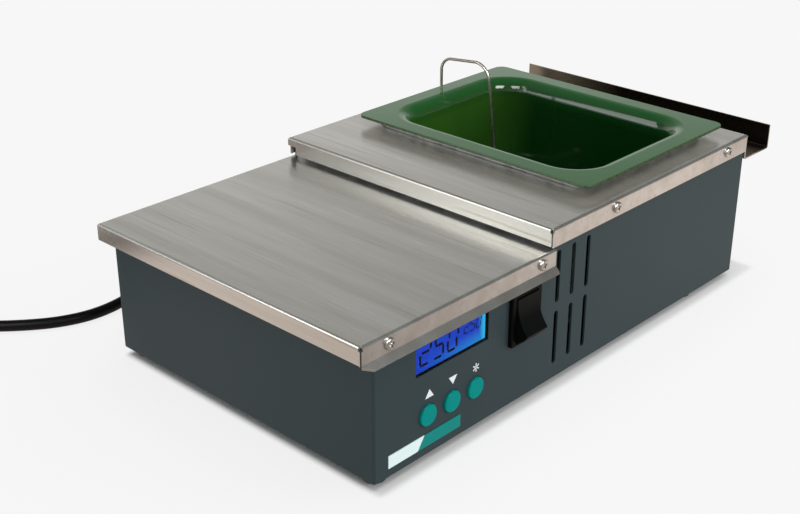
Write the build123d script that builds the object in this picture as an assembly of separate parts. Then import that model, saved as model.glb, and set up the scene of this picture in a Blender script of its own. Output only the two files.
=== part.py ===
from build123d import *
import math
import os

# Case: one folded sheet tray, low at the front and high at the tank end.
case_length = 340.0
case_width = 207.8
case_wall = 1.2
case_corner = 1.6
front_deck_top = 82.8
rear_deck_top = 95.5
step_x = 141.5
edge_gap = 0.3

# Decks: stainless sheet, folded down on all sides.
deck_sheet = 1.0
deck_bend = 0.6
front_overhang = 9.2
front_flange_depth = 10.2
flare_drop = 3.7
rear_flange_depth = 11.2
lip_x = 136.7
lip_depth = 10.3
lip_notch_width = 7.0
lip_notch_height = 5.0
seam_gap = 0.8
relief_radius = 1.1

# Gutter: the rear deck's sheet carried on as a channel past the case.
gutter_width = 28.0
gutter_depth = 17.0
gutter_near_end = -0.6
gutter_far_inset = 10.2

# Tank: deep drawn, with a wide flange that stands clear of the deck.
tank_x = 257.0
tank_shift = 1.7
tub_length = 109.2
tub_side_room = 30.9
tub_corner = 20.0
flange_reach = 18.7
flange_corner = 6.5
flange_rise = 7.1
tank_sheet = 1.5
tub_depth = 58.0
tub_draft = 7.0
tub_rim_radius = 9.0
tub_foot_radius = 10.0

# Heating parts below and round the tub.
shield_sheet = 0.8
shield_corner = 10.0
shield_clearance = 1.0
standoff_height = 10.0
blanket_thickness = 6.5
blanket_top = 72.0
heater_inset = 16.25
heater_height = 16.0
cartridge_diameter = 10.0
cartridge_overhang = 8.0
stud_diameter = 5.0
stud_end_inset = 6.35
stud_side_inset = 8.75
m5_nut_width = 8.0
m5_nut_height = 4.0
bar_width = 14.0
bar_height = 4.0
floor_board_height = 6.0

# Sensor: a thin steel tube that hooks over the tank's flange.
probe_diameter = 2.0
probe_x = 274.0
probe_inset = 6.8
probe_top = 119.0
probe_rise = 4.4
probe_reach = 41.3
probe_lean = 9.5
probe_tip = 52.0
probe_foot = 70.0

# Display window and buttons on the control side.
window_x = 30.2
window_bottom = 49.0
window_length = 56.0
window_height = 26.0
window_recess = 0.5
window_plate = 1.5
button_x = 39.0
button_z = 24.1
button_pitch = 18.55
button_diameter = 12.2
button_proud = 1.4
button_travel = 0.5
board_y = 9.0
board_sheet = 1.6

# Mains switch: a rocker in a bezel.
switch_x = 115.5
switch_z = 52.2
switch_depth = 26.0
bezel_length = 25.2
bezel_height = 31.0
bezel_proud = 2.6
rocker_radius = 13.6
rocker_width = 17.6
rocker_pivot_y = 1.5
rocker_rest_angle = 20.0
rocker_throw = 39.0
rocker_dish = 2.2
rocker_gap = 0.35
trunnion_diameter = 3.4

# Name strip: a plain two-part plate low on the control side.
strip_x = 10.0
strip_z = 5.6
strip_length = 54.5
strip_height = 7.4
strip_split = 24.0
strip_sheet = 0.4

# Vents, feet and screws.
vent_x = 145.2
vent_pitch = 13.6
vent_width = 3.6
vent_rows = ((10.0, 43.3), (48.7, 80.6))
foot_height = 4.0
foot_diameter = 14.0
foot_inset = 10.0
foot_rear_inset = 46.0
deck_screw_head = 6.6
deck_screw_height = 1.7
deck_screw_length = 7.0
last_screw_inset = 23.1
last_screw = (case_length - last_screw_inset, 90.1)
deck_screw_places = ((10.2, 77.6), (129.2, 77.5), (196.6, 90.2), last_screw)
m4_nut_height = 3.2
m4_nut_width = 7.0
m3_screw_length = 7.0
screw_end = 1.8
thread_clearance = 0.05

# Mains cord: leaves the hidden long side and lies on the bench.
cord_diameter = 7.0
cord_x = 116.4
cord_z = 20.0
relief_reach = 20.5
coil_mean_radius = 41.0
coil_columns = 3
coil_height = 14.0
coil_centre = (-57.6, 369.3)

# Places worked out from the driving dimensions.
front_wall_top = front_deck_top - deck_sheet - deck_bend
rear_wall_top = rear_deck_top - deck_sheet - deck_bend
rocker_reach = rocker_radius * math.sin(math.radians(rocker_rest_angle + rocker_throw)) - rocker_pivot_y
gutter_far_end = case_width - gutter_far_inset
gutter_outer = case_length + 2 * deck_sheet + gutter_width
total_length = front_overhang + gutter_outer
total_width = rocker_reach + case_width + deck_sheet + deck_screw_height
origin_shift = Pos(
    front_overhang - total_length / 2,
    rocker_reach - total_width / 2,
    foot_height,
)
tank_y = case_width / 2 - tank_shift
tub_width = case_width - 2 * tub_side_room
flange_length = tub_length + 2 * flange_reach
flange_width = tub_width + 2 * flange_reach
shield_length = tub_length + 2 * (tub_rim_radius + shield_sheet)
shield_width = tub_width + 2 * (tub_rim_radius + shield_sheet)
heater_length = tub_length - 2 * heater_inset
heater_width = tub_width - 2 * heater_inset
stud_x = heater_length / 2 - stud_end_inset
stud_y = heater_width / 2 - stud_side_inset
cartridge_pitch = stud_x / 2
probe_y = case_width - probe_inset
flange_top = rear_deck_top + flange_rise
flange_under = flange_top - tank_sheet
tub_bottom = flange_top - tub_depth - tank_sheet
shield_floor = case_wall + standoff_height
heater_bottom = tub_bottom - heater_height


def block(x0, x1, y0, y1, z0, z1):
    """A box from its low and high corner values."""
    middle = Pos((x0 + x1) / 2, (y0 + y1) / 2, (z0 + z1) / 2)
    return middle * Box(x1 - x0, y1 - y0, z1 - z0)


def upright_rod(x, y, z0, z1, diameter):
    return Pos(x, y, (z0 + z1) / 2) * Cylinder(diameter / 2, z1 - z0)


def level_rod(x, z, y0, y1, diameter):
    """A rod along Y, from y0 to y1."""
    return Pos(x, (y0 + y1) / 2, z) * Rot(90, 0, 0) * Cylinder(diameter / 2, y1 - y0)


def pan_head(diameter, height):
    """A pan head standing on the XY plane, with a cross recess."""
    head = extrude(Circle(diameter / 2), height)
    head = fillet(head.edges().group_by(Axis.Z)[-1], 0.6 * height)
    recess = Box(0.55 * diameter, 0.14 * diameter, height)
    cross = recess + Rot(0, 0, 90) * recess
    return head - Pos(0, 0, height) * cross


def pan_screw(shank, length, head, height):
    """A screw whose head seats on the XY plane and whose shank points down."""
    return pan_head(head, height) + Pos(0, 0, -length / 2) * Cylinder(shank / 2, length)


def hex_nut(across_flats, height, bore):
    """A nut standing on the XY plane."""
    outline = RegularPolygon(across_flats / 2, 6, major_radius=False)
    return extrude(outline - Circle(bore / 2), height)


def folded_strip(plane, points, width):
    """Deck sheet folded along straight lines: its middle line, thickened and drawn out."""
    line = FilletPolyline(*points, radius=deck_bend + deck_sheet / 2)
    return extrude(plane * trace(line, deck_sheet), width)


def lid(x0, x1, low, top):
    """Deck sheet with all four sides folded down to one height."""
    outer = block(x0, x1, -deck_sheet, case_width + deck_sheet, low, top)
    outer = fillet(outer.edges().group_by(Axis.Z)[-1], deck_sheet + deck_bend)
    inner = block(x0 + deck_sheet, x1 - deck_sheet, 0, case_width, low - 1, top - deck_sheet)
    inner = fillet(inner.edges().group_by(Axis.Z)[-1], deck_bend)
    return outer - inner


def corner_relief(x, y, turn, top):
    """The open seam where two flanges meet, with the round relief at its head."""
    seam = Pos(x, y, top - 20 - deck_sheet) * Rot(0, 0, turn) * Box(6, seam_gap, 40)
    return seam + Pos(x, y, top - deck_sheet) * Rot(0, 0, turn) * Cylinder(relief_radius, 3 * deck_sheet)


def butt_seam(x, y, top):
    """A narrow slit in a side flange, beside the end flange that covers the corner."""
    return block(x, x + seam_gap, y - deck_sheet, y + deck_sheet, 0, top - deck_sheet - deck_bend)


def vent_slots():
    """Upright round-ended slots, cut through both long walls."""
    slots = []
    for column in range(3):
        x = vent_x + column * vent_pitch
        for low, high in vent_rows:
            slot = SlotOverall(high - low, vent_width, rotation=90)
            place = Plane(origin=(x, case_width + 5, (low + high) / 2), x_dir=(1, 0, 0), z_dir=(0, -1, 0))
            slots.append(extrude(place * slot, case_width + 10))
    return slots


def long_side_seats(x, z, stand_off):
    """Planes on both long sides, a distance outside the case walls and facing out."""
    near = Plane(origin=(x, -stand_off, z), x_dir=(1, 0, 0), z_dir=(0, -1, 0))
    far = Plane(origin=(x, case_width + stand_off, z), x_dir=(-1, 0, 0), z_dir=(0, 1, 0))
    return [near, far]


def deck_screw_holes(places, diameter):
    """Holes for the deck screws, through the sheets on both long sides."""
    drill = Cylinder(diameter / 2, 10)
    return [seat * drill for x, z in places for seat in long_side_seats(x, z, 0)]


def case():
    """Folded tray: floor, four walls, the step and every cut-out."""
    outer = block(0, case_length, 0, case_width, 0, rear_wall_top)
    outer = fillet(outer.edges().filter_by(Axis.Z), case_corner)
    outer = fillet(outer.edges().group_by(Axis.Z)[0], case_corner - 0.5)
    inner = block(case_wall, case_length - case_wall, case_wall, case_width - case_wall, case_wall, 200)
    inner = fillet(inner.edges().filter_by(Axis.Z), case_corner - case_wall)
    tray = outer - inner
    tray -= block(-1, step_x, -1, case_width + 1, front_wall_top, 200)
    tray -= vent_slots()
    tray -= window_opening()
    tray -= [
        level_rod(button_x + n * button_pitch, button_z, -5, 5, button_diameter + 2 * edge_gap)
        for n in range(3)
    ]
    tray -= Pos(switch_x, 0, switch_z) * Box(bezel_length - 3.7, 10, bezel_height - 1.5)
    tray -= level_rod(cord_x, cord_z, case_width - 5, case_width + 5, relief_neck() + 0.2)
    tray -= deck_screw_holes(deck_screw_places, 4.3)
    for x, y in shield_fixings():
        tray -= upright_rod(x, y, -5, 5, 4.3)
    for x, y in foot_places():
        tray -= upright_rod(x, y, -5, 5, 5.2)
    for y in partition_fixings():
        tray -= upright_rod(partition_fixing_x(), y, -5, 5, 3.2)
    tray -= upright_rod(earth_place[0], earth_place[1], -5, 5, 4.3)
    return tray


def strip_halves():
    """Outlines of the name strip's two parts, which meet on a slant."""
    x0, x1 = strip_x, strip_x + strip_length
    z0, z1 = strip_z, strip_z + strip_height
    split = strip_x + strip_split
    light = [(x0, z0), (split - 2.5, z0), (split + 2.5, z1), (x0, z1)]
    dark = [(split - 2.3, z0), (x1, z0), (x1, z1), (split + 2.7, z1)]
    return light, dark


def name_strip(half):
    """One flat part of the strip, stuck on the case wall."""
    face = Plane.XZ * make_face(Polyline(*strip_halves()[half], close=True))
    return extrude(face, strip_sheet)


def window_opening():
    return block(
        window_x, window_x + window_length, -5, 5, window_bottom, window_bottom + window_height
    )


def front_deck():
    """Folded lid over the electronics, flared out along the control side."""
    low = front_deck_top - front_flange_depth
    front, rear = -front_overhang, step_x - edge_gap
    sheet = lid(front, rear + 20, low, front_deck_top)
    sheet -= block(rear, rear + 30, -5, case_width + 5, low - 1, front_deck_top + 1)
    middle = -deck_sheet / 2
    flare = [(middle, low + 3), (middle, low), (middle - flare_drop, low - flare_drop)]
    sheet += folded_strip(Plane.YZ.offset(front), flare, rear - front)
    inset = (deck_sheet + deck_bend) / 2
    sheet -= corner_relief(front + inset, inset - deck_sheet, 45, front_deck_top)
    sheet -= butt_seam(front + deck_sheet, case_width + deck_sheet / 2, front_deck_top)
    sheet -= deck_screw_holes(deck_screw_places[:2], 4.3)
    return sheet - flare_ends(front, rear, low)


def flare_ends(front, rear, crease):
    """What is cut off the flare: a long slant at the front and a short one at the rear."""
    edge = -2 * deck_sheet - flare_drop
    start = -deck_sheet - edge_gap
    slant = Polyline((front - 2, start), (front, start), (front + 11, edge), (front - 2, edge), close=True)
    nick = Polyline((rear, edge + 2), (rear + 2, edge + 2), (rear + 2, edge), (rear - 2, edge), close=True)
    cuts = [make_face(slant), make_face(nick)]
    return [extrude(Plane.XY.offset(crease - 15) * cut, 15.5) for cut in cuts]


def rear_deck():
    """Folded lid round the tank, its sheet carried on as the gutter."""
    low = rear_deck_top - rear_flange_depth
    front, rear = lip_x, case_length + deck_sheet
    sheet = lid(front, rear, low, rear_deck_top)
    inset = (deck_sheet + deck_bend) / 2
    sheet -= corner_relief(front + inset, inset - deck_sheet, 45, rear_deck_top)
    sheet -= butt_seam(front + deck_sheet, case_width + deck_sheet / 2, rear_deck_top)
    sheet -= butt_seam(case_length - seam_gap, -deck_sheet, rear_deck_top)
    bend_low = rear_deck_top - deck_sheet - deck_bend
    sheet -= block(case_length, rear + 1, -5, case_width + 5, 0, bend_low)
    sheet -= block(case_length, rear + 1, gutter_far_end, case_width + 5, 0, rear_deck_top + 1)
    sheet -= block(lip_x - 1, lip_x + deck_sheet, -5, case_width + 5, 0, rear_deck_top - lip_depth)
    sheet -= block(
        lip_x - 1,
        lip_x + deck_sheet,
        case_width + deck_sheet - lip_notch_width,
        case_width + 5,
        0,
        rear_deck_top - lip_depth + lip_notch_height,
    )
    sheet += gutter(bend_low)
    sheet -= deck_screw_holes(deck_screw_places[2:], 4.3)
    opening = RectangleRounded(shield_length + 2 * shield_clearance, shield_width + 2 * shield_clearance, 12)
    sheet -= Pos(tank_x, tank_y, rear_deck_top - 5) * extrude(opening, 10)
    return sheet - upright_rod(probe_x, probe_y, rear_deck_top - 5, rear_deck_top + 5, 5.0)


def gutter(joint):
    """Channel with open ends, from the height where it joins the deck's bend."""
    floor = rear_deck_top - gutter_depth + deck_sheet / 2
    inner = case_length + deck_sheet / 2
    outer = gutter_outer - deck_sheet / 2
    points = [(inner, joint), (inner, floor), (outer, floor), (outer, rear_deck_top - deck_sheet)]
    width = gutter_far_end - gutter_near_end
    return folded_strip(Plane.XZ.offset(-gutter_far_end), points, width)


def deck_screws():
    """Pan head screws through both decks' side flanges."""
    shank = 4.0 - 2 * thread_clearance
    screw = Rot(0, 0, 17) * pan_screw(shank, deck_screw_length, deck_screw_head, deck_screw_height)
    seats = [seat for x, z in deck_screw_places for seat in long_side_seats(x, z, deck_sheet)]
    return Compound(children=[seat * screw for seat in seats])


def deck_nuts():
    nut = Rot(180, 0, 0) * hex_nut(m4_nut_width, m4_nut_height, 4.0)
    seats = [seat for x, z in deck_screw_places for seat in long_side_seats(x, z, -case_wall)]
    return Compound(children=[seat * nut for seat in seats])


def partition_x():
    """Where the partition's sheet starts, just behind the step."""
    return step_x + 2 * edge_gap


def partition_fixing_x():
    return partition_x() + deck_sheet + 6.0


def partition_fixings():
    return (case_width * 0.2, case_width * 0.5, case_width * 0.8)


grommet_place = (40.0, 30.0)
grommet_bore = 12.0
partition_foot = 12.0


def partition():
    """Upright sheet between the electronics and the hot end, with a folded foot."""
    x = partition_x()
    near, far = case_wall + edge_gap, case_width - case_wall - edge_gap
    wall = block(x, x + deck_sheet, near, far, case_wall, rear_wall_top - edge_gap)
    foot = block(x, x + partition_foot + deck_sheet, near, far, case_wall, case_wall + deck_sheet)
    sheet = wall + foot
    sheet -= [upright_rod(partition_fixing_x(), y, 0, 10, 3.2) for y in partition_fixings()]
    y, z = grommet_place
    hole = Pos(x, y, z) * Rot(0, 90, 0) * Cylinder(grommet_bore / 2 + 2, 10)
    return sheet - hole


def partition_rivets():
    """Blind rivets that hold the partition's foot to the floor."""
    seat = case_wall + deck_sheet
    rivets = []
    for y in partition_fixings():
        head = upright_rod(partition_fixing_x(), y, seat, seat + 1.2, 6.0)
        head = fillet(head.edges().group_by(Axis.Z)[-1], 0.8)
        rivets.append(head + upright_rod(partition_fixing_x(), y, 0, seat, 3.1))
    return Compound(children=rivets)


def wire_grommet():
    """Grooved rubber ring in the partition's wire hole."""
    bore = grommet_bore / 2
    profile = Polyline(
        (bore, -3),
        (bore + 3.5, -3),
        (bore + 3.5, -deck_sheet / 2),
        (bore + 2, -deck_sheet / 2),
        (bore + 2, deck_sheet / 2),
        (bore + 3.5, deck_sheet / 2),
        (bore + 3.5, 3),
        (bore, 3),
        close=True,
    )
    ring = revolve(Plane.XZ * make_face(profile), Axis.Z)
    y, z = grommet_place
    return Pos(partition_x() + deck_sheet / 2, y, z) * Rot(0, 90, 0) * ring


def shield_fixings():
    """Where the heat shield stands on its four insulators."""
    x, y = shield_length / 2 - 14, shield_width / 2 - 16
    return [(tank_x + i * x, tank_y + j * y) for i in (-1, 1) for j in (-1, 1)]


def heat_shield():
    """Open sheet box that carries the tank's flange on its rim."""
    length, width = shield_length, shield_width
    outer = extrude(RectangleRounded(length, width, shield_corner), flange_under - shield_floor)
    inner = RectangleRounded(
        length - 2 * shield_sheet, width - 2 * shield_sheet, shield_corner - shield_sheet
    )
    box = outer - Pos(0, 0, shield_sheet) * extrude(inner, 200)
    box = Pos(tank_x, tank_y, shield_floor) * box
    box -= [upright_rod(x, y, shield_floor - 5, shield_floor + 5, 4.3) for x, y in shield_fixings()]
    lead_hole = Pos(tank_x - length / 2, tank_y, heater_bottom) * Rot(0, 90, 0) * Cylinder(6, 10)
    return box - lead_hole


def shield_standoffs():
    """Ceramic tubes that keep the hot box off the case floor."""
    tube = Cylinder(6.0, standoff_height) - Cylinder(2.15, standoff_height)
    middle = case_wall + standoff_height / 2
    return Compound(children=[Pos(x, y, middle) * tube for x, y in shield_fixings()])


def shield_screws():
    length = shield_floor + shield_sheet + m4_nut_height + screw_end
    screw = Rot(180, 0, 0) * pan_screw(4.0 - 2 * thread_clearance, length, 7.0, 2.0)
    return Compound(children=[Pos(x, y, 0) * screw for x, y in shield_fixings()])


def shield_nuts():
    seat = shield_floor + shield_sheet
    nut = hex_nut(m4_nut_width, m4_nut_height, 4.0)
    return Compound(children=[Pos(x, y, seat) * nut for x, y in shield_fixings()])


def floor_board():
    """Rigid fibre board on the shield's floor, between the fixings."""
    low = shield_floor + shield_sheet
    length, width = heater_length, heater_width
    board = block(
        tank_x - length / 2,
        tank_x + length / 2,
        tank_y - width / 2,
        tank_y + width / 2,
        low,
        low + floor_board_height,
    )
    return chamfer(board.edges().filter_by(Axis.Z), 6)


def insulation_blanket():
    """Ceramic fibre lining round the tub, inside the shield."""
    length = shield_length - 2 * shield_sheet - 2 * edge_gap
    width = shield_width - 2 * shield_sheet - 2 * edge_gap
    outer = RectangleRounded(length, width, shield_corner - 1)
    inner = RectangleRounded(length - 2 * blanket_thickness, width - 2 * blanket_thickness, 6)
    low = shield_floor + shield_sheet
    lining = Pos(tank_x, tank_y, low) * extrude(outer - inner, blanket_top - low)
    lead_slot = block(tank_x - length, tank_x, tank_y - 7, tank_y + 7, low, heater_bottom + 8)
    return lining - lead_slot


def stud_places():
    return [(tank_x + i * stud_x, tank_y + j * stud_y) for i in (-1, 1) for j in (-1, 1)]


def heater_block():
    """Cast iron block under the tub, bored for the cartridge heaters."""
    body = Box(heater_length, heater_width, heater_height)
    body = fillet(body.edges().filter_by(Axis.Z), 5)
    body = Pos(tank_x, tank_y, heater_bottom + heater_height / 2) * body
    middle = heater_bottom + heater_height / 2
    bore = cartridge_diameter + 2 * thread_clearance
    for n in (-1, 0, 1):
        x = tank_x + n * cartridge_pitch
        body -= level_rod(x, middle, tank_y - heater_width, tank_y + heater_width, bore)
    bore = stud_diameter + 0.6
    body -= [upright_rod(x, y, heater_bottom - 5, tub_bottom + 5, bore) for x, y in stud_places()]
    return body


def heater_cartridges():
    """Three steel-sheathed heaters, each with a crimped cap at its lead end."""
    middle = heater_bottom + heater_height / 2
    heaters = []
    for n in (-1, 0, 1):
        x = tank_x + n * cartridge_pitch
        start = tank_y - heater_width / 2
        sheath = level_rod(x, middle, start, start + heater_width + cartridge_overhang, cartridge_diameter)
        cap = level_rod(x, middle, start - 4, start, cartridge_diameter - 3)
        heaters.append(sheath + cap)
    return Compound(children=heaters)


def clamp_bars():
    """Two steel bars that pull the heater block up against the tub."""
    bars = []
    for j in (-1, 1):
        y = tank_y + j * stud_y
        bar = block(
            tank_x - heater_length / 2,
            tank_x + heater_length / 2,
            y - bar_width / 2,
            y + bar_width / 2,
            heater_bottom - bar_height,
            heater_bottom,
        )
        bar = fillet(bar.edges().filter_by(Axis.Z), bar_width / 2 - 0.5)
        for i in (-1, 1):
            bar -= upright_rod(tank_x + i * stud_x, y, 0, 100, stud_diameter + 0.6)
        bars.append(bar)
    return Compound(children=bars)


def heater_studs():
    """Threaded studs welded to the tub's underside."""
    low = heater_bottom - bar_height - 4.8
    return Compound(children=[upright_rod(x, y, low, tub_bottom, stud_diameter) for x, y in stud_places()])


def stud_nuts():
    seat = heater_bottom - bar_height - m5_nut_height
    bore = stud_diameter + 2 * thread_clearance
    nut = hex_nut(m5_nut_width, m5_nut_height, bore)
    return Compound(children=[Pos(x, y, seat) * nut for x, y in stud_places()])


def solder_tank():
    """Deep drawn tub with a broad flat flange, drafted walls and a rolled rim."""
    flange = RectangleRounded(flange_length, flange_width, flange_corner)
    flange = Pos(0, 0, flange_under) * extrude(flange, tank_sheet)
    flange = fillet(flange.edges().group_by(Axis.Z)[-1], 0.4)
    pressed = RectangleRounded(
        tub_length + 2 * tank_sheet, tub_width + 2 * tank_sheet, tub_corner + tank_sheet
    )
    outer = extrude(Pos(0, 0, flange_under) * pressed, -tub_depth, taper=tub_draft)
    outer = fillet(outer.edges().group_by(Axis.Z)[0], tub_foot_radius)
    shell = flange + outer
    shell = fillet(tub_edges(shell, flange_under), tub_rim_radius - tank_sheet)
    mouth = RectangleRounded(tub_length, tub_width, tub_corner)
    inner = extrude(Pos(0, 0, flange_top) * mouth, -tub_depth, taper=tub_draft)
    inner = fillet(inner.edges().group_by(Axis.Z)[0], tub_foot_radius - tank_sheet)
    shell -= inner
    shell = fillet(tub_edges(shell, flange_top), tub_rim_radius)
    return Pos(tank_x, tank_y, 0) * shell


def tub_edges(shell, height):
    """The edges round the tub's mouth at one height, the flange's own outline left out."""
    edges = shell.edges().filter_by_position(Axis.Z, height - 0.01, height + 0.01)
    half_x, half_y = tub_length / 2 + 5, tub_width / 2 + 5
    return edges.filter_by(lambda edge: abs(edge.center().X) < half_x and abs(edge.center().Y) < half_y)


def sensor_probe():
    """Bent sheath: up from the deck, over the flange and down into the tub."""
    inner_y = probe_y - probe_reach
    path = FilletPolyline(
        (probe_x, probe_y, probe_foot),
        (probe_x, probe_y, probe_top),
        (probe_x, inner_y, probe_top + probe_rise),
        (probe_x, inner_y - probe_lean, probe_tip),
        radius=[9.5, 12.0],
    )
    start = Plane(origin=(probe_x, probe_y, probe_foot), z_dir=(0, 0, 1))
    return sweep(start * Circle(probe_diameter / 2), path)


def sensor_gland():
    """Flanged bush that holds the sheath in the deck's hole."""
    under = rear_deck_top - deck_sheet
    bush = upright_rod(probe_x, probe_y, under - 6, rear_deck_top + 1.0, 4.8)
    bush += upright_rod(probe_x, probe_y, under - 2, under, 6.4)
    return bush - upright_rod(probe_x, probe_y, 0, 200, probe_diameter + 2 * thread_clearance)


def display_window():
    """Clear pane: its raised face fills the cut-out, its rim is held behind the wall."""
    face = block(
        window_x + 0.15,
        window_x + window_length - 0.15,
        window_recess,
        case_wall,
        window_bottom + 0.15,
        window_bottom + window_height - 0.15,
    )
    rim = block(
        window_x - 2.5,
        window_x + window_length + 2.5,
        case_wall,
        case_wall + window_plate,
        window_bottom - 2.5,
        window_bottom + window_height + 2.5,
    )
    return face + rim


def lcd_module():
    """Display cell in a pressed frame, behind the pane."""
    low = case_wall + window_plate + edge_gap
    frame = block(
        window_x - 2, window_x + window_length + 2, low, board_y,
        window_bottom - 3, window_bottom + window_height + 2,
    )
    bevel = frame.faces().sort_by(Axis.Y)[0].edges()
    return chamfer(bevel, 0.8)


board_span = (20.0, 96.0, 12.0, 79.0)


def display_fixings():
    x0, x1, z0, z1 = board_span
    return [(x, z) for x in (x0 + 3.5, x1 - 3.5) for z in (z0 + 3.5, z1 - 3.5)]


def display_board():
    x0, x1, z0, z1 = board_span
    board = block(x0, x1, board_y, board_y + board_sheet, z0, z1)
    return board - [level_rod(x, z, 0, 30, 3.2) for x, z in display_fixings()]


def display_standoffs():
    posts = []
    for x, z in display_fixings():
        post = level_rod(x, z, case_wall, board_y, 6.0)
        posts.append(post - level_rod(x, z, board_y - 6, board_y, 3.0))
    return Compound(children=posts)


def display_screws():
    screws = []
    for x, z in display_fixings():
        seat = Plane(origin=(x, board_y + board_sheet, z), x_dir=(1, 0, 0), z_dir=(0, 1, 0))
        screws.append(seat * pan_screw(3.0 - 2 * thread_clearance, m3_screw_length - 1, 5.5, 2.0))
    return Compound(children=screws)


def plunger_front():
    """Where a tact switch's plunger ends: just past the button's full travel."""
    return case_wall + edge_gap + 1.4 + 1.7 + button_travel + 0.05


def tact_switches():
    """Three small push switches soldered to the display board."""
    switches = []
    for n in range(3):
        x = button_x + n * button_pitch
        body = block(x - 3, x + 3, plunger_front() + 0.4, board_y, button_z - 3, button_z + 3)
        plunger = level_rod(x, button_z, plunger_front(), plunger_front() + 0.4, 3.4)
        switches.append(body + plunger)
    return Compound(children=switches)


def button(n):
    """Round cap with a bevelled face, a retaining flange and a post to its switch."""
    x = button_x + n * button_pitch
    flange_front = case_wall + edge_gap
    head = level_rod(x, button_z, -button_proud, flange_front, button_diameter)
    head = chamfer(head.edges().group_by(Axis.Y)[0], 0.5)
    flange = level_rod(x, button_z, flange_front, flange_front + 1.4, button_diameter + 1.8)
    post = level_rod(x, button_z, flange_front + 1.4, flange_front + 3.1, 4.0)
    return head + flange + post


def button_guide():
    """Moulded bar behind the wall, in which the caps' flanges slide."""
    depth = 3.2
    last = button_x + 2 * button_pitch
    bar = block(button_x - 10.5, last + 10.5, case_wall, case_wall + depth, button_z - 9, button_z + 9)
    bar = fillet(bar.edges().filter_by(Axis.Y), 8)
    bore = button_diameter + 1.8 + 0.2
    return bar - [level_rod(button_x + n * button_pitch, button_z, 0, 10, bore) for n in range(3)]


def switch_housing():
    """Bezel on the panel with the switch body behind it."""
    bezel = block(
        switch_x - bezel_length / 2,
        switch_x + bezel_length / 2,
        -bezel_proud,
        0,
        switch_z - bezel_height / 2,
        switch_z + bezel_height / 2,
    )
    bezel = fillet(bezel.edges().filter_by(Axis.Y), 1.5)
    bezel = fillet(bezel.faces().sort_by(Axis.Y)[0].edges(), 0.9)
    half_x, half_z = bezel_length / 2 - 2.0, bezel_height / 2 - 0.9
    body = block(switch_x - half_x, switch_x + half_x, 0, switch_depth, switch_z - half_z, switch_z + half_z)
    well_x = rocker_width / 2 + rocker_gap
    well_z = rocker_radius + rocker_gap
    well = block(switch_x - well_x, switch_x + well_x, -10, 11, switch_z - well_z, switch_z + well_z)
    bores = Pos(switch_x, rocker_pivot_y, switch_z) * Rot(0, 90, 0)
    bores *= Cylinder(trunnion_diameter / 2 + thread_clearance, 2 * well_x + 2.2)
    return bezel + body - well - bores


def around_pivot(angle):
    """A point on the rocker's end arcs, by its angle from straight up, outwards positive."""
    turn = math.radians(angle)
    return (
        rocker_pivot_y - rocker_radius * math.sin(turn),
        switch_z + rocker_radius * math.cos(turn),
    )


def switch_rocker():
    """Dished rocker at rest with its lower end out, on two trunnions."""
    skirt = 47.0
    low = 180 - rocker_rest_angle - rocker_throw
    upper, lower = around_pivot(rocker_rest_angle), around_pivot(low)
    upper_in, lower_in = around_pivot(rocker_rest_angle - skirt), around_pivot(low + skirt)
    chord = Vector(*upper) - Vector(*lower)
    inward = Vector(chord.Y, -chord.X).normalized() * rocker_dish
    hollow = (Vector(*upper) + Vector(*lower)) / 2 + inward
    outline = [
        ThreePointArc(upper, (hollow.X, hollow.Y), lower),
        ThreePointArc(lower, around_pivot(low + skirt / 2), lower_in),
        Line(lower_in, upper_in),
        ThreePointArc(upper_in, around_pivot(rocker_rest_angle - skirt / 2), upper),
    ]
    start = Plane.YZ.offset(switch_x - rocker_width / 2)
    body = extrude(start * make_face(outline), rocker_width)
    hub = Pos(switch_x, rocker_pivot_y, switch_z) * Rot(0, 90, 0)
    body += hub * Cylinder(3.4, rocker_width)
    body = fillet(body.edges().sort_by_distance((switch_x, lower[0], lower[1]))[0], 0.8)
    return body + hub * Cylinder(trunnion_diameter / 2, rocker_width + 2.4)


def switch_terminals():
    """Four flat tabs at the back of the switch."""
    tabs = []
    for i in (-1, 1):
        for j in (-1, 1):
            x, z = switch_x + i * 5, switch_z + j * 8
            tab = Pos(x, switch_depth + 4.5, z) * Box(0.8, 9, 6.3)
            tabs.append(tab - Pos(x, switch_depth + 6, z) * Rot(0, 90, 0) * Cylinder(1.1, 4))
    return Compound(children=tabs)


# Power board and what stands on it, in the front bay.
power_board_width = 90.0
power_back_room = 55.8
power_back = case_width - power_back_room
power_front = power_back - power_board_width
power_span = (20.0, 130.0, power_front, power_back)
power_board_low = case_wall + 10.0
power_top = power_board_low + board_sheet


def power_fixings():
    x0, x1, y0, y1 = power_span
    return [(x, y) for x in (x0 + 4, x1 - 4) for y in (y0 + 4, y1 - 4)]


def power_board():
    x0, x1, y0, y1 = power_span
    board = block(x0, x1, y0, y1, power_board_low, power_top)
    return board - [upright_rod(x, y, 0, 30, 3.2) for x, y in power_fixings()]


def board_standoffs():
    posts = []
    for x, y in power_fixings():
        post = upright_rod(x, y, case_wall, power_board_low, 6.0)
        posts.append(post - upright_rod(x, y, power_board_low - 7, power_board_low, 3.0))
    return Compound(children=posts)


def board_screws():
    screw = pan_screw(3.0 - 2 * thread_clearance, m3_screw_length, 5.5, 2.0)
    return Compound(children=[Pos(x, y, power_top) * screw for x, y in power_fixings()])


transformer_x = 48.0
transformer_y = power_front + 28.0
core_length = 42.0
core_height = 36.0
core_stack = 15.0
core_leg = 6.9


def transformer_core():
    """Stack of steel laminations with two windows."""
    window = Box(core_length / 2 - 2 * core_leg, 2 * core_stack, core_height - 2 * core_leg)
    core = Box(core_length, core_stack, core_height)
    core -= [Pos(side * core_length / 4, 0, 0) * window for side in (-1, 1)]
    return Pos(transformer_x, transformer_y, power_top + core_height / 2) * core


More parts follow.
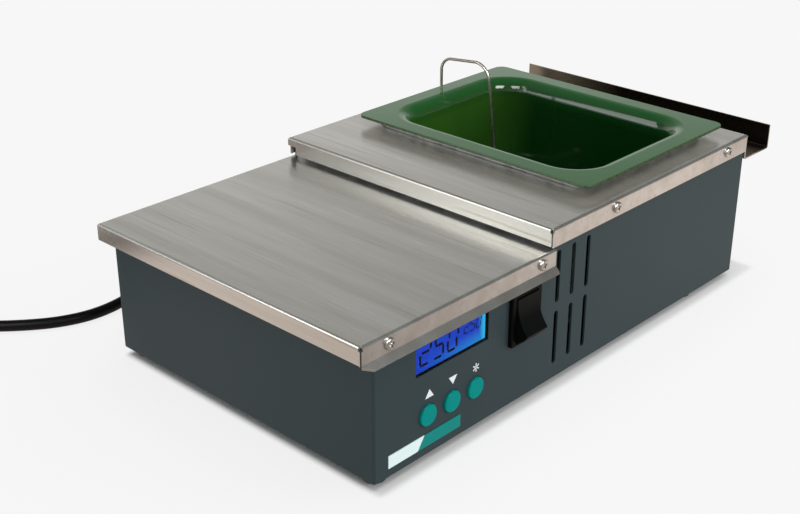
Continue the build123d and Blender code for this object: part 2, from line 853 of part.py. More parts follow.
def transformer_winding():
    """Bobbin and winding round the core's middle leg."""
    middle_leg = Box(2 * core_leg + 0.4, core_stack + 0.4, core_height)
    height = core_height - 2 * core_leg - 1
    winding = Box(core_length - 2 * core_leg - 1.6, core_stack + 18, height)
    winding = fillet(winding.edges().filter_by(Axis.Z), 4)
    return Pos(transformer_x, transformer_y, power_top + core_height / 2) * (winding - middle_leg)


sink_y = power_front + 58.0
fuse_place = (92.0, power_front + 76.0)


def heat_sink():
    """Finned extrusion standing on the board."""
    sink = Box(40, 3, 30)
    for n in range(6):
        sink += Pos(-18.5 + n * 7.4, 7.5, 0) * Box(1.8, 12.2, 30)
    return Pos(100, sink_y, power_top + 15) * sink


def triac():
    """Power switch bolted flat against the heat sink."""
    body = Box(10, 4.4, 9)
    tab = Pos(0, 1.55, 7.5) * Box(10, 1.3, 6.5)
    legs = [Pos(x, 0.5, -8) * Box(0.8, 0.6, 8) for x in (-2.54, 0, 2.54)]
    face = sink_y - 1.5
    return Pos(100, face - 2.2, power_top + 12.1) * (body + tab + legs)


def relay():
    shell = fillet(Box(28, 12, 15).edges().filter_by(Axis.Z), 1)
    return Pos(105, power_front + 22, power_top + 7.5) * shell


def capacitor():
    """Round can with a rolled shoulder."""
    can = fillet(Cylinder(9, 26).edges().group_by(Axis.Z)[-1], 1.2)
    return Pos(78, power_front + 43, power_top + 13) * can


def terminal_block():
    """Five-way screw terminal for the mains and heater leads."""
    body = Box(38, 13, 14)
    body -= Pos(0, -6.5, 5) * Rot(45, 0, 0) * Box(60, 5, 5)
    for n in range(5):
        x = -15 + 7.5 * n
        body -= Pos(x, -4, -2) * Box(5, 8, 6)
        body -= Pos(x, 2, 6) * Cylinder(2.2, 6)
    return Pos(50, power_front + 78, power_top + 7) * body


def fuse_holder():
    """Base with two spring clips."""
    base = Pos(0, 0, 1.5) * Box(28, 8, 3)
    for x in (-9, 9):
        clip = Pos(x, 0, 6) * Box(5, 7.4, 6.5)
        clip -= Pos(x, 0, 7) * Rot(0, 90, 0) * Cylinder(2.65, 10)
        base += clip - Pos(x, 0, 9.6) * Box(8, 3.6, 4)
    return Pos(*fuse_place, power_top) * base


def fuse():
    """Glass tube with a metal cap at each end."""
    tube = Rot(0, 90, 0) * Cylinder(2.4, 20)
    for x in (-8, 8):
        tube += Pos(x, 0, 0) * Rot(0, 90, 0) * Cylinder(2.6, 5)
    return Pos(*fuse_place, power_top + 7) * tube


earth_place = (116.4, case_width - 31.8)


def earth_stud():
    """Bonding screw through the floor, head outside."""
    screw = Rot(180, 0, 0) * pan_screw(4.0 - 2 * thread_clearance, 14.0, 7.0, 2.0)
    return Pos(earth_place[0], earth_place[1], 0) * screw


def earth_nut():
    return Pos(earth_place[0], earth_place[1], case_wall) * hex_nut(7.0, 3.2, 4.0)


def foot_places():
    x0, x1 = foot_inset, case_length - foot_rear_inset
    y0, y1 = foot_inset, case_width - foot_inset
    return [(x0, y0), (x1, y0), (x0, y1), (x1, y1)]


def foot(x, y):
    """Push-in rubber foot: pad below, stem through the floor, barb above."""
    pad = foot_diameter / 2
    profile = Polyline(
        (0, -foot_height),
        (pad - 0.8, -foot_height),
        (pad, 0),
        (2.5, 0),
        (2.5, case_wall),
        (3.4, case_wall),
        (2.2, case_wall + 3),
        (0, case_wall + 3),
        close=True,
    )
    return Pos(x, y, 0) * revolve(Plane.XZ * make_face(profile), Axis.Z)


def relief_neck():
    """Diameter of the strain relief where it passes the wall."""
    return cord_diameter + 5.5


def strain_relief():
    """Moulded sleeve: inner head, neck in the wall, collar, then a ribbed taper."""
    neck = relief_neck() / 2
    tip = cord_diameter / 2 + 1.2
    collar = neck + 2.5
    rings = 4
    first, last = 4.0, relief_reach
    outline = [(0, -case_wall - 3), (collar - 0.8, -case_wall - 3), (collar, -case_wall)]
    outline += [(neck, -case_wall), (neck, 0), (collar, 0), (collar - 0.6, 2.6), (neck - 0.4, 2.8)]
    for n in range(rings):
        at = first + (last - first - 2) * n / rings
        radius = neck - 0.4 + (tip - neck + 0.4) * (at - first) / (last - first)
        outline += [(radius, at), (radius - 0.7, at + 0.3)]
        outline += [(radius - 0.8, at + 1.4), (radius - 0.25, at + 1.7)]
    outline += [(tip, last), (0, last)]
    sleeve = revolve(Plane.XZ * make_face(Polyline(*outline, close=True)), Axis.Z)
    socket = Pos(0, 0, last - 4) * Cylinder(cord_diameter / 2 + thread_clearance, 8)
    at_wall = Plane(origin=(cord_x, case_width, cord_z), x_dir=(1, 0, 0), z_dir=(0, 1, 0))
    return at_wall * (sleeve - socket)


# The cord's route, from inside the strain relief to the coil, chosen by hand.
bench = cord_diameter / 2 - foot_height
cord_route = [
    (cord_x, case_width + relief_reach - 8, cord_z),
    (cord_x, case_width + relief_reach + 8, cord_z - 0.8),
    (110.0, 251.5, 17.0),
    (98.4, 262.8, 12.8),
    (83.2, 268.7, 8.2),
    (66.8, 268.0, 4.0),
    (50.2, 260.2, 1.2),
    (30.2, 255.6, 0.0),
    (10.0, 256.3, bench),
    (-9.1, 263.2, bench),
    (-25.7, 274.9, bench),
    (-41.8, 290.0, bench),
    (-57.6, 307.0, bench),
    (-72.4, 320.4, bench),
    (-86.4, 330.9, bench),
]


def cord_radii():
    """Each corner's arc: 0.45 of its shorter run over the tangent of half its turn."""
    corners = [Vector(*point) for point in cord_route]
    radii = []
    for before, here, after in zip(corners, corners[1:], corners[2:]):
        arriving, leaving = here - before, after - here
        half_turn = math.radians(arriving.get_angle(leaving)) / 2
        radii.append(0.45 * min(arriving.length, leaving.length) / math.tan(half_turn))
    return radii


def power_cord():
    radii = cord_radii()
    print("cord radii:", [round(radius, 1) for radius in radii])
    path = FilletPolyline(*cord_route, radius=radii)
    start = Plane(origin=cord_route[0], z_dir=path % 0)
    tube = sweep(start * Circle(cord_diameter / 2), path)
    expected = math.pi * cord_diameter**2 / 4 * path.length
    print("cord length", round(path.length, 1), "volume ratio", round(tube.volume / expected, 5))
    return tube


def cord_coil():
    """Outer shape of the wound spare length."""
    half_width = coil_columns * cord_diameter / 2
    section = Pos(coil_mean_radius, coil_height / 2) * RectangleRounded(2 * half_width, coil_height, 3.0)
    ring = revolve(Plane.XZ * section, Axis.Z)
    return Pos(coil_centre[0], coil_centre[1], -foot_height) * ring


plug_start = 20.0
plug_tail = 24.0
plug_body_length = 34.0


def plug_place():
    """Beside the coil, on the bench, pointing along -X from the outermost turn."""
    outer_turn = coil_mean_radius + (coil_columns - 1) * cord_diameter / 2
    x, y = coil_centre[0] - plug_start, coil_centre[1] - outer_turn
    return Plane(origin=(x, y, 11.0 - foot_height), x_dir=(0, -1, 0), z_dir=(-1, 0, 0))


def plug_body():
    """Moulded plug: tapered tail, waisted grip and a flat front face."""
    tail = loft([Circle(4.6), Pos(0, 0, plug_tail) * Circle(6.2)])
    grip = Pos(0, 0, plug_tail) * extrude(RectangleRounded(25, 22, 6), plug_body_length)
    grip = fillet(grip.edges().group_by(Axis.Z)[0], 4)
    grip -= [Pos(s * 14.5, 0, plug_tail + 15) * Cylinder(4, 14, rotation=(90, 0, 0)) for s in (-1, 1)]
    return plug_place() * (tail + grip)


def plug_pins():
    """Two flat blades and a round earth pin."""
    front = plug_tail + plug_body_length
    blades = [Pos(s * 6.35, -2, front + 8.5) * Box(1.5, 6.3, 17) for s in (-1, 1)]
    earth = Pos(0, 6, front + 9.5) * Cylinder(2.4, 19)
    earth = fillet(earth.edges().group_by(Axis.Z)[-1], 1.8)
    return plug_place() * Compound(children=[*blades, earth])


def save(shape, name):
    """Writes one piece, moved so the origin is under the middle of the whole object."""
    solids = [origin_shift * solid for solid in shape.solids()]
    moved = solids[0] if len(solids) == 1 else Compound(solids)
    export_step(moved, os.path.join("parts", name + ".step"))


os.makedirs("parts", exist_ok=True)
save(case(), "case")
save(front_deck(), "front_deck")
save(rear_deck(), "rear_deck")
save(deck_screws(), "deck_screws")
save(deck_nuts(), "deck_nuts")
save(name_strip(0), "name_strip_light")
save(name_strip(1), "name_strip_dark")
save(partition(), "partition")
save(partition_rivets(), "partition_rivets")
save(wire_grommet(), "wire_grommet")
save(heat_shield(), "heat_shield")
save(shield_standoffs(), "shield_standoffs")
save(shield_screws(), "shield_screws")
save(shield_nuts(), "shield_nuts")
save(floor_board(), "floor_board")
save(insulation_blanket(), "insulation_blanket")
save(heater_block(), "heater_block")
save(heater_cartridges(), "heater_cartridges")
save(clamp_bars(), "clamp_bars")
save(heater_studs(), "heater_studs")
save(stud_nuts(), "stud_nuts")
save(solder_tank(), "solder_tank")
save(sensor_probe(), "sensor_probe")
save(sensor_gland(), "sensor_gland")
save(display_window(), "display_window")
save(lcd_module(), "lcd_module")
save(display_board(), "display_board")
save(display_standoffs(), "display_standoffs")
save(display_screws(), "display_screws")
save(tact_switches(), "tact_switches")
save(button_guide(), "button_guide")
for number, name in enumerate(("button_up", "button_down", "button_set")):
    save(button(number), name)
save(switch_housing(), "switch_housing")
save(switch_rocker(), "switch_rocker")
save(switch_terminals(), "switch_terminals")
save(power_board(), "power_board")
save(board_standoffs(), "board_standoffs")
save(board_screws(), "board_screws")
save(transformer_core(), "transformer_core")
save(transformer_winding(), "transformer_winding")
save(heat_sink(), "heat_sink")
save(triac(), "triac")
save(relay(), "relay")
save(capacitor(), "capacitor")
save(terminal_block(), "terminal_block")
save(fuse_holder(), "fuse_holder")
save(fuse(), "fuse")
save(earth_stud(), "earth_stud")
save(earth_nut(), "earth_nut")
for (x, y), name in zip(foot_places(), ("front_near", "rear_near", "front_far", "rear_far")):
    save(foot(x, y), "foot_" + name)
save(strain_relief(), "strain_relief")
save(power_cord(), "power_cord")
save(cord_coil(), "cord_coil")
save(plug_body(), "plug_body")
save(plug_pins(), "plug_pins")
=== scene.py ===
import math

import bpy
from mathutils import Matrix, Vector


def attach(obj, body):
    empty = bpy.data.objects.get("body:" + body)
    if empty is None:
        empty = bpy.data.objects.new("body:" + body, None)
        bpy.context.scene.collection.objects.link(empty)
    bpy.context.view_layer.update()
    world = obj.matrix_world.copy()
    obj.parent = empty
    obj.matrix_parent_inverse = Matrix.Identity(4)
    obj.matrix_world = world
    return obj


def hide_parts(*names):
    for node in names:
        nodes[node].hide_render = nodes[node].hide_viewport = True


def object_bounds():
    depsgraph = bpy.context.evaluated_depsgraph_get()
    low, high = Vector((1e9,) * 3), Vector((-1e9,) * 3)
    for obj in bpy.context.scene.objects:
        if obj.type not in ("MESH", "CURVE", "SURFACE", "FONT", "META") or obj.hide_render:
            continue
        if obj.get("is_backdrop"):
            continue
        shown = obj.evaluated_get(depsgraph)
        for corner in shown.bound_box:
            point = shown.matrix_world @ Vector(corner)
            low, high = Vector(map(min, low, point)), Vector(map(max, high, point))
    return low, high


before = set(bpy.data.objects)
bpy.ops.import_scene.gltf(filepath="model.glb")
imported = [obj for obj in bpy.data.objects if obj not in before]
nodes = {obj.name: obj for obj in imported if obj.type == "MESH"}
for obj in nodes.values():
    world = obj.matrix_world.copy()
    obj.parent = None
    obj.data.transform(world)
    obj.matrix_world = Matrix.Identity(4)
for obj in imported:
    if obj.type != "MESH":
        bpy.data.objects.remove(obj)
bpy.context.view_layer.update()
scene = bpy.context.scene
MM = 0.001

# Where the case's near bottom corner lies in the row frame. Sizes below are in millimetres from
# that corner: x along the case, y towards the back, z up from the case's floor.
CASE_CORNER = Vector((-180.4, -100.171, 4.0))


def at(x, y, z):
    """A point of the case's own millimetres as a point of the row frame, in metres."""
    return (Vector((x, y, z)) + CASE_CORNER) * MM


# The camera, at the photograph's height and side: a long lens a little above the left corner,
# looking along the case and down on both decks.
camera_data = bpy.data.cameras.new("view_over_front_corner")
camera_data.lens = 59.04
camera_data.sensor_width = 36.0
camera_data.clip_start = 0.05
camera_data.clip_end = 20.0
camera = bpy.data.objects.new("view_over_front_corner", camera_data)
scene.collection.objects.link(camera)
camera.location = at(-384.8, -380.2, 382.2)
camera.rotation_mode = "QUATERNION"
camera.rotation_quaternion = Vector((0.65786, 0.61993, -0.42767)).to_track_quat("-Z", "Y")
scene.camera = camera
scene.view_settings.view_transform = "Standard"


def linear(hex_colour):
    """An sRGB hex colour as the linear colour that a shader reads."""
    channels = [int(hex_colour[i:i + 2], 16) / 255 for i in (1, 3, 5)]
    bent = [c / 12.92 if c <= 0.04045 else ((c + 0.055) / 1.055) ** 2.4 for c in channels]
    return (*bent, 1.0)


def add_node(tree, kind, inputs=(), **settings):
    """Adds one node with its settings, and sets or links its inputs, by their names or numbers.

    A Map Range node turns the range from input 1 to input 2 into that from 3 to 4. A Mix node's
    colours are inputs 6 and 7.
    """
    node = tree.nodes.new(kind)
    for name, value in settings.items():
        setattr(node, name, value)
    for name, value in dict(inputs).items():
        if isinstance(value, bpy.types.NodeSocket):
            tree.links.new(value, node.inputs[name])
        else:
            node.inputs[name].default_value = value
    return node


# The studio: a pale sweep under and behind the object, and soft lamps. Polished and brushed faces
# mirror a paler room at the back left and a darker ceiling, so that their bends read as bends.
BACKDROP = "#F7F7F7"
world = bpy.data.worlds.new("pale_studio")
scene.world = world
world.use_nodes = True
tree = world.node_tree
tree.nodes.clear()
rays = add_node(tree, "ShaderNodeLightPath")
seen = add_node(
    tree, "ShaderNodeMath",
    {0: rays.outputs["Is Camera Ray"], 1: rays.outputs["Is Transmission Ray"]}, operation="MAXIMUM",
)

# The mirrored room: palest at the back left, brighter below the horizon, and dimmer up its walls
# and over its ceiling, with a dark doorway in the back wall and a dark corner at the right.
outward = add_node(tree, "ShaderNodeTexCoord").outputs["Generated"]
to_back = add_node(
    tree, "ShaderNodeVectorMath", {0: outward, 1: (-0.54, 0.77, 0.34)}, operation="DOT_PRODUCT",
)
nearness = add_node(tree, "ShaderNodeMapRange", {0: to_back.outputs["Value"], 1: -1.0, 2: 1.0})
back_side = add_node(tree, "ShaderNodeMath", {0: nearness.outputs[0], 1: 1.6}, operation="POWER")
side = add_node(
    tree, "ShaderNodeMath", {0: back_side.outputs[0], 1: 1.0, 2: 0.13}, operation="MULTIPLY_ADD",
)
rise = add_node(tree, "ShaderNodeSeparateXYZ", {0: outward})
horizon = add_node(
    tree, "ShaderNodeMapRange", {0: rise.outputs["Z"], 1: 0.30, 2: 0.34, 3: 0.65, 4: 0.0},
)
wall_fade = add_node(
    tree, "ShaderNodeMapRange", {0: rise.outputs["Z"], 1: 0.34, 2: 0.43, 3: 1.24, 4: 0.76},
)
haze = add_node(
    tree, "ShaderNodeMath", {0: horizon.outputs[0], 1: wall_fade.outputs[0]}, operation="ADD",
)
ceiling = add_node(
    tree, "ShaderNodeMapRange", {0: rise.outputs["Z"], 1: 0.55, 2: 0.85, 3: 1.0, 4: 0.40},
)
dim = add_node(
    tree, "ShaderNodeMath", {0: haze.outputs[0], 1: ceiling.outputs[0]}, operation="MULTIPLY",
)
walls = add_node(
    tree, "ShaderNodeMath", {0: side.outputs[0], 1: dim.outputs[0]}, operation="MULTIPLY",
)
to_door = add_node(
    tree, "ShaderNodeVectorMath", {0: outward, 1: (-0.57, 0.73, 0.38)}, operation="DOT_PRODUCT",
)
door = add_node(
    tree, "ShaderNodeMapRange", {0: to_door.outputs["Value"], 1: 0.90, 2: 0.985, 3: 1.0, 4: 0.42},
)
to_right = add_node(
    tree, "ShaderNodeVectorMath", {0: outward, 1: (0.80, 0.50, 0.33)}, operation="DOT_PRODUCT",
)
corner = add_node(
    tree, "ShaderNodeMapRange", {0: to_right.outputs["Value"], 1: 0.89, 2: 0.95, 3: 0.72, 4: 1.0},
)
shaded = add_node(
    tree, "ShaderNodeMath", {0: door.outputs[0], 1: corner.outputs[0]}, operation="MULTIPLY",
)
room = add_node(
    tree, "ShaderNodeMath", {0: walls.outputs[0], 1: shaded.outputs[0]}, operation="MULTIPLY",
)

# The light that matt faces take is soft and stronger from the front right.
to_front = add_node(
    tree, "ShaderNodeVectorMath", {0: outward, 1: (0.6, -0.53, 0.6)}, operation="DOT_PRODUCT",
)
front_side = add_node(
    tree, "ShaderNodeMapRange", {0: to_front.outputs["Value"], 1: -1.0, 2: 1.0, 3: 0.36, 4: 0.90},
)
soft_light = add_node(
    tree, "ShaderNodeBackground", {"Color": linear("#F2F3F1"), "Strength": front_side.outputs[0]},
)
mirror_light = add_node(
    tree, "ShaderNodeBackground", {"Color": linear("#F5F4F1"), "Strength": room.outputs[0]},
)
backdrop = add_node(tree, "ShaderNodeBackground", {"Color": linear(BACKDROP), "Strength": 1.0})
lit = add_node(
    tree, "ShaderNodeMixShader",
    {0: rays.outputs["Is Glossy Ray"], 1: soft_light.outputs[0], 2: mirror_light.outputs[0]},
)
whole = add_node(
    tree, "ShaderNodeMixShader", {0: seen.outputs[0], 1: lit.outputs[0], 2: backdrop.outputs[0]},
)
add_node(tree, "ShaderNodeOutputWorld", {"Surface": whole.outputs[0]})

floor_mesh = bpy.data.meshes.new("studio_floor")
half_floor = 6.0
signs = ((-1, -1), (1, -1), (1, 1), (-1, 1))
floor_corners = [(i * half_floor, j * half_floor, 0) for i, j in signs]
floor_mesh.from_pydata(floor_corners, [], [(0, 1, 2, 3)])
floor = bpy.data.objects.new("studio_floor", floor_mesh)
scene.collection.objects.link(floor)
floor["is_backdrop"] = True

# The paper is matt and takes the shadow near the object; further off it is the backdrop's plain
# shade. Mirrored, it is bright in two pools, beside the left end and in front of the tank end.
FOOTPRINT = (0.178, 0.102, 0.0)
paper = bpy.data.materials.new("pale_backdrop_paper")
paper.use_nodes = True
tree = paper.node_tree
tree.nodes.clear()
rays = add_node(tree, "ShaderNodeLightPath")
place = add_node(tree, "ShaderNodeTexCoord").outputs["Object"]
matt = add_node(tree, "ShaderNodeBsdfDiffuse", {"Color": linear("#F3F3F3")})
plain = add_node(tree, "ShaderNodeEmission", {"Color": linear(BACKDROP), "Strength": 1.0})
folded = add_node(tree, "ShaderNodeVectorMath", {0: place}, operation="ABSOLUTE")
past = add_node(
    tree, "ShaderNodeVectorMath", {0: folded.outputs[0], 1: FOOTPRINT}, operation="SUBTRACT",
)
outside = add_node(
    tree, "ShaderNodeVectorMath", {0: past.outputs[0], 1: (0.0, 0.0, 0.0)}, operation="MAXIMUM",
)
away = add_node(tree, "ShaderNodeVectorMath", {0: outside.outputs[0]}, operation="LENGTH")
near = add_node(
    tree, "ShaderNodeMapRange", {0: away.outputs["Value"], 1: 0.0, 2: 0.006, 4: 0.88},
    interpolation_type="SMOOTHSTEP",
)
far = add_node(
    tree, "ShaderNodeMapRange", {0: away.outputs["Value"], 1: 0.05, 2: 0.3, 4: 0.12},
    interpolation_type="SMOOTHSTEP",
)
distance = add_node(
    tree, "ShaderNodeMath", {0: near.outputs[0], 1: far.outputs[0]}, operation="ADD",
)
sheet = add_node(
    tree, "ShaderNodeMixShader", {0: distance.outputs[0], 1: matt.outputs[0], 2: plain.outputs[0]},
)
pools = []
for middle, spread, strength in (((-0.306, 0.12, 0), 0.50, 0.75), ((0.25, -0.235, 0), 0.45, 0.85)):
    gap = add_node(tree, "ShaderNodeVectorMath", {0: place, 1: middle}, operation="DISTANCE")
    pool = add_node(
        tree, "ShaderNodeMapRange",
        {0: gap.outputs["Value"], 1: spread, 2: 0.0, 3: 0.0, 4: strength},
        interpolation_type="SMOOTHSTEP",
    )
    pools.append(pool.outputs[0])
both = add_node(tree, "ShaderNodeMath", {0: pools[0], 1: pools[1]}, operation="ADD")
mirrored = add_node(tree, "ShaderNodeMath", {0: both.outputs[0], 1: 0.26}, operation="ADD")
glow = add_node(
    tree, "ShaderNodeEmission", {"Color": linear("#FFEDE3"), "Strength": mirrored.outputs[0]},
)
surface = add_node(
    tree, "ShaderNodeMixShader",
    {0: rays.outputs["Is Glossy Ray"], 1: sheet.outputs[0], 2: glow.outputs[0]},
)
add_node(tree, "ShaderNodeOutputMaterial", {"Surface": surface.outputs[0]})
floor_mesh.materials.append(paper)

# Two soft boxes light the object and leave no mark in its metal. The other three are cards that
# only show mirrored.
for name, stand, aim, width, height, power, in_mirrors in (
    ("overhead_softbox", (0.15, 0.0, 1.5), (0, 0, 0), 1.3, 1.3, 9.0, False),
    ("front_softbox", (1.0, -1.25, 0.55), (0.05, 0, 0.06), 0.8, 0.8, 8.5, False),
    ("window_card", (-1.02, 0.73, 0.74), (0.13, 0.0, 0.1), 0.30, 1.0, 3.4, True),
    ("left_card", (-0.94, -0.10, 0.85), (0.11, 0.07, 0.1), 0.66, 0.50, 9.5, True),
    ("right_card", (-0.11, -0.97, 0.85), (0.11, 0.07, 0.1), 0.66, 0.50, 14.0, True),
):
    lamp = bpy.data.lights.new(name, "AREA")
    lamp.shape = "RECTANGLE"
    lamp.size = width
    lamp.size_y = height
    lamp.energy = power
    holder = bpy.data.objects.new(name, lamp)
    scene.collection.objects.link(holder)
    holder.visible_glossy = in_mirrors
    holder.visible_diffuse = not in_mirrors
    holder.location = stand
    holder.rotation_mode = "QUATERNION"
    holder.rotation_quaternion = (Vector(aim) - Vector(stand)).to_track_quat("-Z", "Y")


def finish(name, colour, roughness, metallic=0.0, **shader_values):
    """A new material with its plain values set: (material, tree, shader, object coordinates)."""
    material = bpy.data.materials.new(name)
    material.use_nodes = True
    tree = material.node_tree
    shader = tree.nodes["Principled BSDF"]
    shader.inputs["Base Color"].default_value = linear(colour)
    shader.inputs["Roughness"].default_value = roughness
    shader.inputs["Metallic"].default_value = metallic
    for socket, value in shader_values.items():
        shader.inputs[socket.replace("_", " ")].default_value = value
    place = add_node(tree, "ShaderNodeTexCoord").outputs["Object"]
    return material, tree, shader, place


def wear_on(material, *node_names):
    """Puts one material on CAD nodes in place of their plain colours."""
    for node_name in node_names:
        mesh = nodes[node_name].data
        mesh.materials.clear()
        mesh.materials.append(material)


# The mains lead: black PVC over three cores, moulded into its strain relief and plug. It drops to
# the bench behind the case, and its spare length is wound beside the object, out of the view.
LEAD = 7.0
BENCH = -0.5
lead_route = [
    (116.4, 220.3, 20.0),
    (116.4, 236.3, 19.2),
    (110.0, 251.5, 17.0),
    (98.4, 262.8, 12.8),
    (83.2, 268.7, 8.2),
    (66.8, 268.0, 4.0),
    (50.2, 260.2, 1.2),
    (30.2, 255.6, 0.0),
    (10.0, 256.3, BENCH),
    (-9.1, 263.2, BENCH),
    (-25.7, 274.9, BENCH),
    (-41.8, 290.0, BENCH),
    (-57.6, 307.0, BENCH),
    (-72.4, 320.4, BENCH),
]

# The spare length lies in two layers, wound in and out again. It steps up to the upper layer about
# half way, and the plug's end leaves that one.
coil_middle = Vector((-57.6, 369.3))
coil_radius = 41.0
first_angle = math.radians(233.1)
turns = 5.9
points_a_turn = 14
step_up_at = 0.47
step_up_over = 0.06
steps = int(turns * points_a_turn)
for step in range(steps + 1):
    done = step / steps
    angle = first_angle - done * turns * math.tau
    upper = min(1.0, max(0.0, (done - step_up_at) / step_up_over))
    inward = 1 - abs(1 - 2 * done)
    radius = coil_radius + LEAD * (1 - 2 * inward)
    x, y = coil_middle + Vector((math.cos(angle), math.sin(angle))) * radius
    lead_route.append((x, y, BENCH + upper * LEAD))
last_x, last_y, _ = lead_route[-1]
lead_route.append((last_x - 10.0, last_y, 6.9))
lead_route.append((last_x - 23.0, last_y, 7.0))

lead_curve = bpy.data.curves.new("mains_lead", "CURVE")
lead_curve.dimensions = "3D"
lead_curve.bevel_depth = LEAD / 2 * MM
lead_curve.bevel_resolution = 4
lead_curve.use_fill_caps = True
spline = lead_curve.splines.new("NURBS")
spline.points.add(len(lead_route) - 1)
for point, spot in zip(spline.points, lead_route):
    point.co = (*at(*spot), 1.0)
spline.order_u = 3
spline.use_endpoint_u = True
spline.resolution_u = 5
mains_lead = bpy.data.objects.new("mains_lead", lead_curve)
scene.collection.objects.link(mains_lead)

# Soft PVC: near black, with a low sheen and the faint drag marks of extrusion.
pvc, tree, shader, place = finish("black_soft_pvc", "#070708", 0.5, Specular_IOR_Level=0.12)
drag = add_node(tree, "ShaderNodeTexNoise", {"Vector": place, "Scale": 900.0, "Detail": 3.0})
dust = add_node(tree, "ShaderNodeTexNoise", {"Vector": place, "Scale": 60.0, "Detail": 4.0})
shade = add_node(
    tree, "ShaderNodeMix", {0: dust.outputs[0], 6: linear("#030304"), 7: linear("#0B0B0C")},
    data_type="RGBA",
)
tree.links.new(shade.outputs[2], shader.inputs["Base Color"])
gloss = add_node(tree, "ShaderNodeMapRange", {0: dust.outputs[0], 3: 0.36, 4: 0.52})
tree.links.new(gloss.outputs[0], shader.inputs["Roughness"])
bump = add_node(
    tree, "ShaderNodeBump", {"Height": drag.outputs[0], "Strength": 0.12, "Distance": 0.0002},
)
tree.links.new(bump.outputs[0], shader.inputs["Normal"])
lead_curve.materials.append(pvc)
wear_on(pvc, "strain_relief", "plug_body")

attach(mains_lead, "pot")
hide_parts("power_cord", "cord_coil")


def grained(name, dark, light, roughness, metallic, grain_mm, relief_mm, **shader_values):
    """A finish whose shade, gloss and relief follow one noise of a real grain size."""
    material, tree, shader, place = finish(name, light, roughness, metallic, **shader_values)
    grain = add_node(
        tree, "ShaderNodeTexNoise", {"Vector": place, "Scale": 1000.0 / grain_mm, "Detail": 4.0},
    )
    shade = add_node(
        tree, "ShaderNodeMix", {0: grain.outputs[0], 6: linear(dark), 7: linear(light)},
        data_type="RGBA",
    )
    tree.links.new(shade.outputs[2], shader.inputs["Base Color"])
    gloss = add_node(
        tree, "ShaderNodeMapRange", {0: grain.outputs[0], 3: roughness - 0.07, 4: roughness + 0.07},
    )
    tree.links.new(gloss.outputs[0], shader.inputs["Roughness"])
    bump = add_node(
        tree, "ShaderNodeBump",
        {"Height": grain.outputs[0], "Strength": 0.4, "Distance": relief_mm * MM},
    )
    tree.links.new(bump.outputs[0], shader.inputs["Normal"])
    return material


# The case: mild steel sheet, folded to a tray and powder coated slate grey. The coat is satin, with
# the fine orange peel of cured powder and a hardly seen change of shade.
powder_coat, tree, shader, place = finish(
    "slate_powder_coat", "#30414A", 0.5, Specular_IOR_Level=0.16,
)
peel = add_node(tree, "ShaderNodeTexNoise", {"Vector": place, "Scale": 1400.0, "Detail": 2.0})
drift = add_node(tree, "ShaderNodeTexNoise", {"Vector": place, "Scale": 14.0, "Detail": 3.0})
shade = add_node(
    tree, "ShaderNodeMix", {0: drift.outputs[0], 6: linear("#2D3E42"), 7: linear("#344145")},
    data_type="RGBA",
)
tree.links.new(shade.outputs[2], shader.inputs["Base Color"])
gloss = add_node(tree, "ShaderNodeMapRange", {0: peel.outputs[0], 3: 0.42, 4: 0.58})
tree.links.new(gloss.outputs[0], shader.inputs["Roughness"])
bump = add_node(
    tree, "ShaderNodeBump", {"Height": peel.outputs[0], "Strength": 0.25, "Distance": 0.0001},
)
tree.links.new(bump.outputs[0], shader.inputs["Normal"])
wear_on(powder_coat, "case")

# Feet: four black rubber mushrooms, pushed into the floor's holes. Moulded rubber is matt and a
# little grey with dust.
foot_rubber = grained("moulded_black_rubber", "#0B0B0B", "#1C1C1B", 0.72, 0.0, 0.6, 0.05)
wear_on(foot_rubber, "foot_front_near", "foot_rear_near", "foot_front_far", "foot_rear_far")

# Both decks and the gutter: stainless sheet with a grain that runs across the case, cut and folded.
# Long use has left darker bands along the grain and a few tan scratches. The gutter's outer wall is
# darkened to near black inside, with the floor next to it, most at the near end and fading out
# towards the far end.
brushed, tree, shader, place = finish("brushed_stainless", "#B4B4AE", 0.25, 0.9)
fine = add_node(tree, "ShaderNodeMapping", {"Vector": place, "Scale": (2400.0, 20.0, 2400.0)})
scratch = add_node(
    tree, "ShaderNodeTexNoise",
    {"Vector": fine.outputs[0], "Scale": 1.0, "Detail": 4.0, "Roughness": 0.65},
)
broad = add_node(tree, "ShaderNodeMapping", {"Vector": place, "Scale": (95.0, 5.0, 95.0)})
band = add_node(
    tree, "ShaderNodeTexNoise",
    {"Vector": broad.outputs[0], "Scale": 1.0, "Detail": 5.0, "Roughness": 0.6},
)
bands = add_node(tree, "ShaderNodeMapRange", {0: band.outputs[0], 1: 0.32, 2: 0.68})
brush = add_node(
    tree, "ShaderNodeMix", {0: scratch.outputs[0], 6: linear("#BABAB6"), 7: linear("#D2D2CF")},
    data_type="RGBA",
)
worn = add_node(
    tree, "ShaderNodeMix", {0: bands.outputs[0], 6: linear("#EAE8E4"), 7: linear("#FFFFFF")},
    data_type="RGBA",
)
steel = add_node(
    tree, "ShaderNodeMix", {0: 1.0, 6: brush.outputs[2], 7: worn.outputs[2]}, data_type="RGBA",
    blend_type="MULTIPLY",
)
narrow = add_node(tree, "ShaderNodeMapping", {"Vector": place, "Scale": (420.0, 9.0, 420.0)})
nick = add_node(
    tree, "ShaderNodeTexNoise", {"Vector": narrow.outputs[0], "Scale": 1.0, "Detail": 2.0},
)
nicks = add_node(
    tree, "ShaderNodeMapRange", {0: nick.outputs[0], 1: 0.63, 2: 0.71, 3: 0.0, 4: 0.32},
)
tan = add_node(
    tree, "ShaderNodeMix", {0: nicks.outputs[0], 6: steel.outputs[2], 7: linear("#8F7F62")},
    data_type="RGBA",
)
spot = add_node(tree, "ShaderNodeSeparateXYZ", {0: place})
gutter_inside, gutter_face = at(352, 0, 0).x, at(369.4, 0, 0).x
past = add_node(
    tree, "ShaderNodeMapRange", {0: spot.outputs["X"], 1: gutter_inside, 2: gutter_inside + 0.012},
)
